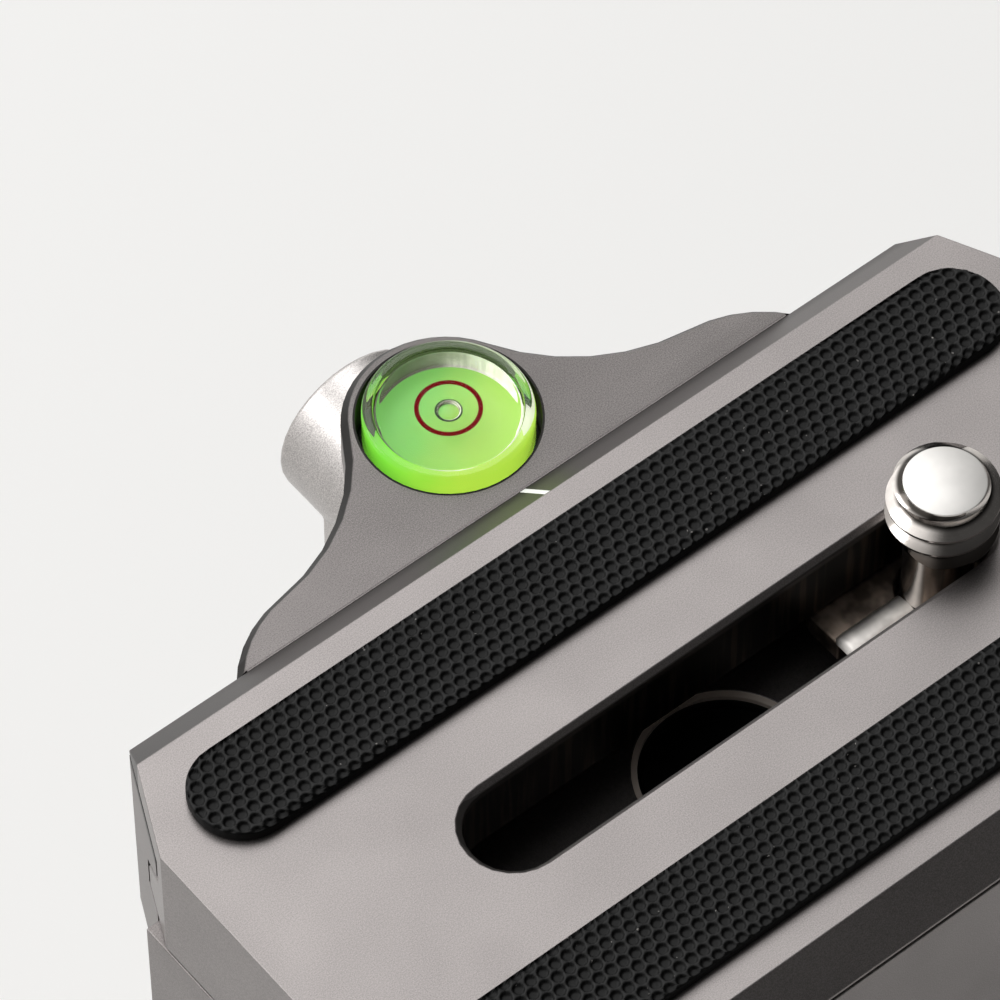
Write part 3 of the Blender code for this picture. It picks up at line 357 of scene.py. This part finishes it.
# pale matt colour that paints on the counterbore edge's highlight
counterboreHighlight = evenSurface("counterboreHighlight", (0.92, 0.81, 0.72), 0.3, 0.8)
stripRubber = blackRubber("stripRubber", 0.0075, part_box("rubber_strip_front")[1].z)
gripRubber = blackRubber("gripRubber", 0.025)
slidePlastic = evenSurface("slidePlastic", (0.8, 0.8, 0.76), 0.4)
print("finishes ready")


# shared tools

def place(name, bm, finish, body, stands=(), slot=None, sharp=30, finishes=()):
    bmesh.ops.remove_doubles(bm, verts=bm.verts, dist=0.0005 * mm)
    bmesh.ops.recalc_face_normals(bm, faces=bm.faces)
    mesh = bpy.data.meshes.new(name)
    bm.to_mesh(mesh)
    bm.free()
    for material in (finish, *finishes):
        mesh.materials.append(material)
    mesh.shade_smooth()
    mesh.set_sharp_from_angle(angle=math.radians(sharp))
    obj = bpy.data.objects.new(name, mesh)
    scene.collection.objects.link(obj)
    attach(obj, body)
    if stands:
        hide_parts(*stands)
    return obj


def softened(node, finish, body, slot, width=0.12, segments=2, limit=28):
    # the solid's own shape with the small rounded edges that machining leaves
    bm = bmesh.new()
    bm.from_mesh(nodes[node].data)
    bmesh.ops.remove_doubles(bm, verts=bm.verts, dist=0.001 * mm)
    bmesh.ops.dissolve_limit(bm, angle_limit=math.radians(0.6), verts=bm.verts, edges=bm.edges)
    name = "".join(part.capitalize() if i else part for i, part in enumerate(node.split("_")))
    obj = place(name, bm, finish, body, [node], slot, sharp=limit)
    bevel = obj.modifiers.new("rounded edges", "BEVEL")
    bevel.width = width * mm
    bevel.segments = segments
    bevel.limit_method = "ANGLE"
    bevel.angle_limit = math.radians(limit)
    bevel.harden_normals = True
    bevel.use_clamp_overlap = True
    return obj


def spun(profile, steps=96, centre=(0, 0, 0)):
    # spins a profile of (radius, height) in millimetres about an upright axis
    bm = bmesh.new()
    verts = [bm.verts.new((radius * mm, 0, height * mm)) for radius, height in profile]
    edges = [bm.edges.new(pair) for pair in zip(verts, verts[1:])]
    if min(radius for radius, height in profile) > 0:
        edges.append(bm.edges.new((verts[-1], verts[0])))
    bmesh.ops.spin(bm, geom=verts + edges, cent=(0, 0, 0), axis=(0, 0, 1), angle=2 * math.pi,
                   steps=steps, use_merge=True)
    bm.transform(Matrix.Translation(Vector(centre) * mm))
    return bm


def cadFinish(names, material):
    for name in names:
        mesh = nodes[name].data
        mesh.materials.clear()
        mesh.materials.append(material)
        mesh.shade_smooth()
        mesh.set_sharp_from_angle(angle=math.radians(30))


# rubber strips with their dimples

strip = {"pitchX": 0.82, "pitchY": 0.71, "radius": 0.275, "rim": 0.075, "depth": 0.2, "corner": 3.0,
         "edge": 0.16, "step": 0.08}


def dimple(x, y):
    # how far a point lies below the strip's top, from its distance to the nearest dimple's centre
    row = round(y / strip["pitchY"])
    nearest = 9.0
    for near in (row - 1, row, row + 1):
        shift = 0.5 * strip["pitchX"] * (near % 2)
        centre = round((x - shift) / strip["pitchX"]) * strip["pitchX"] + shift
        nearest = min(nearest, math.hypot(x - centre, y - near * strip["pitchY"]))
    share = (nearest - strip["radius"]) / strip["rim"]
    share = min(max(share, 0.0), 1.0)
    return strip["depth"] * (1 - share * share * (3 - 2 * share))


def makeStrip(node):
    low, high = (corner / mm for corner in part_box(node))
    half = Vector(((high.x - low.x) / 2, (high.y - low.y) / 2))
    middle = (high.y + low.y) / 2
    columns, rows = int(2 * half.x / strip["step"]), int(2 * half.y / strip["step"])
    bm = bmesh.new()
    bmesh.ops.create_grid(bm, x_segments=columns, y_segments=rows, size=0.5)
    corner = strip["corner"]
    for vert in bm.verts:
        y = vert.co.y * 2 * half.y
        over = max(abs(y) - (half.y - corner), 0)
        reach = half.x - corner + math.sqrt(max(corner ** 2 - over ** 2, 0))
        x = vert.co.x * 2 * reach
        inX, inY = half.x - abs(x), half.y - abs(y)
        if inX < corner and inY < corner:
            inside = corner - math.hypot(corner - inX, corner - inY)
        else:
            inside = min(inX, inY)
        drop = max(strip["edge"] - inside, 0)
        rounding = strip["edge"] - math.sqrt(max(strip["edge"] ** 2 - drop ** 2, 0))
        fade = min(inside / strip["edge"], 1)
        vert.co = Vector((x, middle + y, high.z - rounding - fade * dimple(x, y))) * mm
    rim = [edge for edge in bm.edges if edge.is_boundary]
    wall = bmesh.ops.extrude_edge_only(bm, edges=rim)["geom"]
    foot = [item for item in wall if isinstance(item, bmesh.types.BMVert)]
    for vert in foot:
        vert.co.z = low.z * mm
    around = [item for item in wall if isinstance(item, bmesh.types.BMEdge)
              and all(vert in set(foot) for vert in item.verts)]
    bmesh.ops.contextual_create(bm, geom=around)
    name = "rubberStripFront" if "front" in node else "rubberStripRear"
    place(name, bm, stripRubber, "plate", [node], "rubber", sharp=70)


makeStrip("rubber_strip_front")
makeStrip("rubber_strip_rear")
print("rubber strips ready")


# bubble level

def arc(radius, centreR, centreZ, start, end, steps):
    # points of a rounded edge, angles from straight out to straight up
    turns = [math.radians(start + (end - start) * i / steps) for i in range(steps + 1)]
    return [(centreR + radius * math.cos(t), centreZ + radius * math.sin(t)) for t in turns]


def fromAxis(face):
    # distance from the level's axis and height, in millimetres, of a face's middle
    middle = face.calc_center_median() / mm
    return math.hypot(middle.x, middle.y - level["y"]), middle.z


def makeLevel():
    top = earTop / mm
    centre = (0, level["y"], 0)
    outer, edge, inner = level["radius"], level["round"], level["rimInner"]
    bottom, rim, crown = top - level["bottomDrop"], top + level["rimTop"], top + level["domeRise"]
    dip, foot, inside = rim - level["groove"], level["footEdge"], level["innerRound"]
    reach, start = inner - level["grooveInner"], dip + level["grooveLift"]
    dome = [(reach * math.cos(t), start + (crown - start) * math.sin(t))
            for t in [math.radians(90 * i / 14) for i in range(1, 14)]]
    body = spun([(0, bottom), (outer - foot, bottom), (outer, bottom + foot)]
                + arc(edge, outer - edge, rim - edge, 0, 90, 7)
                + arc(inside, inner + inside, rim - inside, 90, 180, 4)
                + [(inner - level["grooveOuter"], dip), (reach, start)] + dome + [(0, crown)],
                128, centre=centre)
    for face in body.faces:
        radius, height = fromAxis(face)
        if radius > inner - 0.05 and height > top + 0.2:
            face.material_index = 1
    place("levelVial", body, windowClear, "jaw", ["level_vial"], "level_clear", sharp=50,
          finishes=[rimClear])

    floor, wallTop, fillet = top - level["floorDrop"], top + level["wallTop"], level["floorEdge"]
    below = floor - level["floorThick"]
    wallOuter, wallInner = level["wallOuter"], level["wallOuter"] - level["wall"]
    cup = spun([(0, below), (wallOuter, below), (wallOuter, wallTop), (wallInner, wallTop),
                (wallInner, floor + fillet), (wallInner - fillet, floor), (0, floor)], 128, centre=centre)
    for face in cup.faces:
        radius, height = fromAxis(face)
        if radius > wallOuter - 0.02:
            face.material_index = 1
        elif height > floor + 0.02:
            face.material_index = 2
    place("levelCup", cup, floorGreen, "jaw", slot="level_green", finishes=[bandGreen, wallPaintedReflection])

    base, slant, seatTop = top - level["baseDrop"], outer - level["baseEdge"], bottom - level["baseGap"]
    seat = spun([(0, base), (slant, base), (outer, base + level["baseLift"]), (slant, seatTop), (0, seatTop)],
                centre=centre)
    place("levelBase", seat, basePaintedReflection, "jaw", ["level_base"], "level_green")

    line = crown - level["ringDrop"]
    near, far = level["ring"] - level["ringWidth"] / 2, level["ring"] + level["ringWidth"] / 2
    high, low = line - level["ringTop"], line - level["ringBottom"]
    ring = spun([(near, high), (far, high), (far, low), (near, low)], centre=centre)
    place("levelRing", ring, ringRed, "jaw", slot="level_green")

    wide, half = level["bubble"], level["bubbleHeight"] / 2
    curve = [(wide * math.sin(t), line - half - half * math.cos(t))
             for t in [math.radians(12 * i) for i in range(1, 15)]]
    bubble = spun([(0, line - 2 * half)] + curve + [(0, line)], 64, centre=centre)
    place("levelBubble", bubble, bubbleClear, "jaw", slot="level_clear", sharp=80)
    # painted shade: a thin dark ring stands for the dark edge round the bubble
    thin, around = level["lineRadius"], wide + level["lineOut"]
    outline = spun([(around + thin * math.cos(t), line - half + thin * math.sin(t))
                    for t in [math.pi * i / 3 for i in range(6)]], 64, centre=centre)
    place("levelBubbleShadeRing", outline, bubbleShadeRing, "jaw", slot="level_clear", sharp=80)


def glass(name, ior, roughness, glare):
    look = Look(name)
    look.set(Base_Color=(1, 1, 1), Roughness=roughness, IOR=ior, Transmission_Weight=1.0,
             Specular_Tint=(glare,) * 3)
    return look.material


# the level's own directions, turned to the camera's heading
levelView = {"cosine": 0.776, "sine": 0.631, "reach": 4.1}


def paintedGlow(name, left, right, far, glow, roughness, streak=0.0):
    # fluorescent plastic under painted light: its tone runs across the level, and turns to far at its back if
    # that is given, and it glows by emission
    look = Look(name)
    x, y, z = look.axes()
    y = y - level["y"] * mm
    cosine, sine, reach = levelView["cosine"], levelView["sine"], levelView["reach"] * mm
    across = (x * cosine - y * sine) / reach
    back = (x * sine + y * cosine) / reach
    cloud = look.noise(420, 2.0) - 0.5
    color = look.mix(look.range(across + cloud * 0.7 - back * 0.25, -0.75, 0.55), left, right)
    if far:
        color = look.mix(look.range(back + cloud * 0.2, 0.1, 0.75), color, far)
    if streak:
        lines = look.noise(2600, 2.0, place=look.stretched((1, 1, 0.05)))
        color = look.mix(look.range(lines, 0.35, 0.65, streak), color, (0.03, 0.035, 0.02))
    look.set(Base_Color=color, Emission_Color=color, Roughness=roughness, Emission_Strength=glow)
    return look.material


# painted light on the fluorescent green floor and band: their tone runs across the level, and the band turns
# dark at its back
floorGreen = paintedGlow("levelFloorGreen", (0.18, 0.54, 0.105), (0.3, 0.53, 0.085), None, 0.6, 0.4)
bandGreen = paintedGlow("levelBandGreen", (0.2, 0.7, 0.045), (0.5, 0.82, 0.07), (0.07, 0.11, 0.04), 0.8, 0.4)
# painted reflection on the level's inner wall: dark at the left, white at the right, glowing, with turning
# streaks
wallPaintedReflection = paintedGlow("levelWallPaintedReflection", (0.06, 0.06, 0.04), (0.9, 0.87, 0.81), None, 0.75, 0.3, streak=0.25)
# painted reflection on the level's seat: dark olive at the left, white at the right, glowing
basePaintedReflection = paintedGlow("levelBasePaintedReflection", (0.06, 0.07, 0.04), (0.85, 0.82, 0.75), None, 0.6, 0.4)
windowClear = glass("levelWindowClear", 1.36, 0.01, 0.06)
rimClear = glass("levelRimClear", 1.36, 0.01, 1.0)
bubbleClear = glass("levelBubbleClear", 0.7, 0.0, 0.5)
ringRed = evenSurface("levelRingRed", (0.26, 0.001, 0.003), 0.8, 0.0)
# dark colour of the ring painted round the bubble as its shaded edge
bubbleShadeRing = evenSurface("levelBubbleShadeRing", (0.03, 0.07, 0.03), 0.5)
makeLevel()
print("bubble level ready")


# a ring at the edge of the bolt's counterbore, which shows through the slot; its pale colour is a painted
# highlight

boreEdge = {"outer": 5.29, "inner": 4.95, "low": 70.3, "high": 70.72, "slope": 0.08}
place("boreEdge", spun([(boreEdge["inner"], boreEdge["low"]), (boreEdge["outer"], boreEdge["low"]),
                        (boreEdge["outer"], boreEdge["high"]),
                        (boreEdge["inner"], boreEdge["high"] - boreEdge["slope"])]),
      counterboreHighlight, "clamp", slot="steel", sharp=40)


# camera screw and its tab

tab = {"ridgeStart": 8.2, "ridgeEnd": 12.95, "ridgeHalf": 0.95, "ridgeRise": 0.26, "endRound": 0.4,
       "cuts": (0.05, 0.12, 0.5, 0.88, 1.0), "endFlat": 0.04}


def shifted(bm, x):
    bmesh.ops.translate(bm, verts=bm.verts, vec=(x * mm, 0, 0))
    return bm


def makeCameraScrew():
    top = plateTop / mm
    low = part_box("camera_screw")[0].z / mm
    head, headRadius, headEdge = low + screw["headHeight"], screw["headRadius"], screw["headEdge"]
    tip, root, tipRadius = top + screw["tip"], screw["root"], screw["tipRadius"]
    pitch, turns = screw["pitch"], screw["turns"]
    first = top + screw["nearCrest"] + pitch * (screw["start"] - screw["nearSide"]) / 360
    bm = spun([(0, low), (headRadius - screw["headFoot"], low), (headRadius, low + screw["headFoot"]),
               (headRadius, head - headEdge), (headRadius - headEdge, head), (screw["shank"], head),
               (screw["shank"], first - 0.1), (root, first + 0.3), (root, tip - screw["tipEdge"])]
              + [(tipRadius - inward, tip - down) for inward, down in screw["tipRounding"]] + [(0, tip)])
    for face in bm.faces:
        if face.calc_center_median().z > (tip - 0.01) * mm:
            face.material_index = 1
    place("cameraScrewCore", shifted(bm, screw["x"]), nickel, "camera_screw", ["camera_screw"], "steel",
          finishes=[screwEnd])
    bm = bmesh.new()
    inside, foot, flat = root - screw["sunk"], screw["footShare"], screw["crestShare"]
    shape = [(inside, -foot), (screw["crest"], -flat), (screw["crest"], flat), (inside, foot)]
    verts = [bm.verts.new((radius * mm, 0, (first + share * pitch) * mm)) for radius, share in shape]
    face = bm.faces.new(verts)
    steps = int(64 * turns)
    bmesh.ops.spin(bm, geom=[face, *face.edges, *verts], cent=(0, 0, 0), axis=(0, 0, 1),
                   angle=2 * math.pi * turns, steps=steps, dvec=(0, 0, pitch * turns / steps * mm))
    # the thread grows out of the shank, and the end's chamfer cuts it off at the top
    cut = tip - screw["tipCut"]
    growth = screw["fullFrom"] - screw["start"] - screw["growFrom"]
    thin = root - screw["growSunk"]
    for vert in bm.verts:
        radius, height = math.hypot(vert.co.x, vert.co.y) / mm, vert.co.z / mm
        allowed = tipRadius + max(tip - height, 0) * screw["chamfer"]
        if height > cut:
            vert.co.z, allowed = cut * mm, tipRadius - screw["sunk"]
        if radius > root:
            turned = (height - first) / pitch * 360
            grown = min(max((turned - screw["growFrom"]) / growth, 0), 1)
            allowed = min(allowed, thin + (screw["crest"] - thin) * grown)
        keep = min(allowed / radius, 1)
        vert.co.x *= keep
        vert.co.y *= keep
    bmesh.ops.rotate(bm, verts=bm.verts, cent=(0, 0, 0),
                     matrix=Matrix.Rotation(math.radians(screw["start"]), 3, "Z"))
    place("cameraScrewThread", shifted(bm, screw["x"]), threadSteel, "camera_screw", slot="steel", sharp=35)


def makeTab():
    softened("screw_tab", brushedTab, "screw_tab", "steel", width=0.2, segments=2)
    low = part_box("screw_tab")[1].z / mm
    half, rise, start, end = tab["ridgeHalf"], tab["ridgeRise"], tab["ridgeStart"], tab["ridgeEnd"]
    bm = bmesh.new()
    ring = [bm.verts.new((0, half * math.cos(t) * mm, (low + rise * math.sin(t)) * mm))
            for t in [math.radians(180 * i / 14) for i in range(15)]]
    edges = [bm.edges.new(pair) for pair in zip(ring, ring[1:])]
    edges.append(bm.edges.new((ring[-1], ring[0])))
    bmesh.ops.contextual_create(bm, geom=edges)
    faces = list(bm.faces)
    for share in tab["cuts"]:
        made = bmesh.ops.extrude_face_region(bm, geom=faces)["geom"]
        verts = [item for item in made if isinstance(item, bmesh.types.BMVert)]
        for vert in verts:
            vert.co.x = (end - start) * share * mm
        faces = [item for item in made if isinstance(item, bmesh.types.BMFace)]
    # the ridge's left end is rounded
    for vert in bm.verts:
        out = min(vert.co.x / mm / tab["endRound"], 1)
        shrink = math.sqrt(max(1 - (1 - out) ** 2, tab["endFlat"]))
        vert.co.y *= 0.5 + 0.5 * shrink
        vert.co.z = (low + (vert.co.z / mm - low) * shrink) * mm
        vert.co.x += start * mm
    # the walls between the cuts go
    walls = [face for face in bm.faces if len(face.verts) > 4
             and start + 0.01 < face.calc_center_median().x / mm < end - 0.01]
    bmesh.ops.delete(bm, geom=walls, context="FACES_ONLY")
    place("screwTabRidge", bm, ridgeSteel, "screw_tab", slot="steel", sharp=45)


makeCameraScrew()
makeTab()
print("camera screw ready")


# machined bodies with soft edges

softened("quick_plate", titaniumPlate, "plate", "body_grey", width=0.07)
softened("moving_jaw", titaniumEar, "jaw", "body_grey", width=0.07)
softened("clamp_body", titanium, "clamp", "body_grey", width=0.1)
softened("clamp_lever", satinSilver, "lever", "knob_silver", width=0.15, segments=3)
softened("housing", titanium, "housing", "body_grey", width=0.2, segments=3)
softened("base", scaleGrey, "base", "body_grey", width=0.1)
softened("main_knob_grip", gripRubber, "main_knob", "rubber", width=0.25)
softened("pan_knob_grip", gripRubber, "pan_knob", "rubber", width=0.2)
softened("main_knob", satinSilver, "main_knob", "knob_silver", width=0.12)
softened("pan_knob", satinSilver, "pan_knob", "knob_silver", width=0.12)
cadFinish(["main_knob_cap"], titanium)

# a strip that brings the ear's front edge up to the plate
earLip = {"x": 19.2, "near": 17.862, "far": 17.99, "drop": 0.5, "below": 0.015}


def makeEarLip():
    bm = bmesh.new()
    bmesh.ops.create_cube(bm, size=1.0)
    high = earTop / mm - earLip["below"]
    for vert in bm.verts:
        vert.co = Vector((2 * earLip["x"] * vert.co.x, earLip["near"] if vert.co.y < 0 else earLip["far"],
                          high if vert.co.z > 0 else high - earLip["drop"])) * mm
    place("earLip", bm, titaniumLip, "jaw", slot="body_grey")


makeEarLip()
cadFinish(["base_screw_1", "base_screw_2", "base_screw_3", "spindle", "pan_nut", "bearing_carrier",
           "seat_spring", "main_lock_screw", "pan_lock_screw", "jaw_spring_left", "jaw_spring_right",
           "guide_pin_left", "guide_pin_right", "lever_shaft", "stop_screw_left", "stop_screw_right"], steel)
cadFinish(["centre_bolt"], blackOxide)
cadFinish(["pan_washer", "lower_seat", "upper_seat"], slidePlastic)
print("machined bodies ready")


# ball and stem, turned finely

stemHole = {"radius": 3.3, "depth": 7.6}


def makeBall():
    low, high = (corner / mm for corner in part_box("ball"))
    radius = (high.x - low.x) / 2
    middle = low.z + radius
    flat = high.z - middle
    end = math.degrees(math.acos(flat / radius))
    curve = [(radius * math.sin(t), middle - radius * math.cos(t))
             for t in [math.radians((180 - end) * i / 60) for i in range(61)]]
    curve[0] = (0, low.z)
    hole, bottom = stemHole["radius"], high.z - stemHole["depth"]
    profile = curve + [(hole, high.z), (hole, bottom), (0, bottom)]
    place("ballSphere", spun(profile, 128), ballGrey, "ball", ["ball"], "ball_grey", sharp=40)


makeBall()
softened("stem", ballGrey, "ball", "ball_grey", width=0.15)
print("ball ready")


# camera, light and floor

view = {"target": (-2.362, 16.871, 0.0), "distance": 383.3, "heading": 39.127, "pitch": 54.326, "lens": 251.8}


def makeCamera():
    data = bpy.data.cameras.new("photoCamera")
    data.lens = view["lens"]
    data.sensor_width = 36
    data.clip_start, data.clip_end = 0.01, 20
    camera = bpy.data.objects.new("photoCamera", data)
    turn = Matrix.Rotation(math.radians(-view["heading"]), 4, "Z") @ Matrix.Rotation(
        math.radians(90 - view["pitch"]), 4, "X")
    target = Vector(view["target"]) * mm + Vector((0, 0, plateTop))
    back = Matrix.Translation((0, 0, view["distance"] * mm))
    camera.matrix_world = Matrix.Translation(target) @ turn @ back
    scene.collection.objects.link(camera)
    scene.camera = camera


def softbox(name, swing, lift, distance, size, power):
    # swing counts clockwise from straight behind the object, lift from the floor, both in degrees
    data = bpy.data.lights.new(name, "AREA")
    data.shape = "RECTANGLE"
    data.size, data.size_y = size
    data.energy = power
    turn, rise = math.radians(view["heading"] + swing), math.radians(lift)
    away = Vector((math.sin(turn) * math.cos(rise), math.cos(turn) * math.cos(rise), math.sin(rise)))
    light = bpy.data.objects.new(name, data)
    centre = Vector((0, 0, plateTop)) + away * distance
    light.matrix_world = Matrix.Translation(centre) @ (-away).to_track_quat("-Z", "Y").to_matrix().to_4x4()
    scene.collection.objects.link(light)


def makeFloor():
    bm = bmesh.new()
    bmesh.ops.create_grid(bm, x_segments=1, y_segments=1, size=4.0)
    mesh = bpy.data.meshes.new("studioFloor")
    bm.to_mesh(mesh)
    bm.free()
    look = Look("studioFloor")
    look.set(Base_Color=(0.9, 0.895, 0.885), Roughness=0.9)
    mesh.materials.append(look.material)
    floor = bpy.data.objects.new("studioFloor", mesh)
    scene.collection.objects.link(floor)


room = {"light": (-0.3, 0.85, 0.3), "from": 0.05, "to": 0.75, "dim": 0.06, "bright": 1.36}


def makeRoom():
    # light walls behind and to the left, dim ones towards the viewer's side
    world = bpy.data.worlds.new("studio")
    world.use_nodes = True
    tree = world.node_tree
    background = tree.nodes["Background"]
    background.inputs[0].default_value = (1.0, 0.995, 0.985, 1)
    where = tree.nodes.new("ShaderNodeTexCoord")
    facing = tree.nodes.new("ShaderNodeVectorMath")
    facing.operation = "DOT_PRODUCT"
    facing.inputs[1].default_value = Vector(room["light"]).normalized()
    grade = tree.nodes.new("ShaderNodeMapRange")
    grade.interpolation_type = "SMOOTHSTEP"
    for index, value in enumerate((room["from"], room["to"], room["dim"], room["bright"]), start=1):
        grade.inputs[index].default_value = value
    tree.links.new(where.outputs["Generated"], facing.inputs[0])
    tree.links.new(facing.outputs["Value"], grade.inputs[0])
    tree.links.new(grade.outputs[0], background.inputs[1])
    scene.world = world


makeRoom()
makeCamera()
makeFloor()
softbox("backBox", -21, 59, 0.8, (0.46, 0.55), 1.85)
softbox("leftBox", -80, 33, 0.8, (0.34, 0.34), 1.9)
print("studio ready")
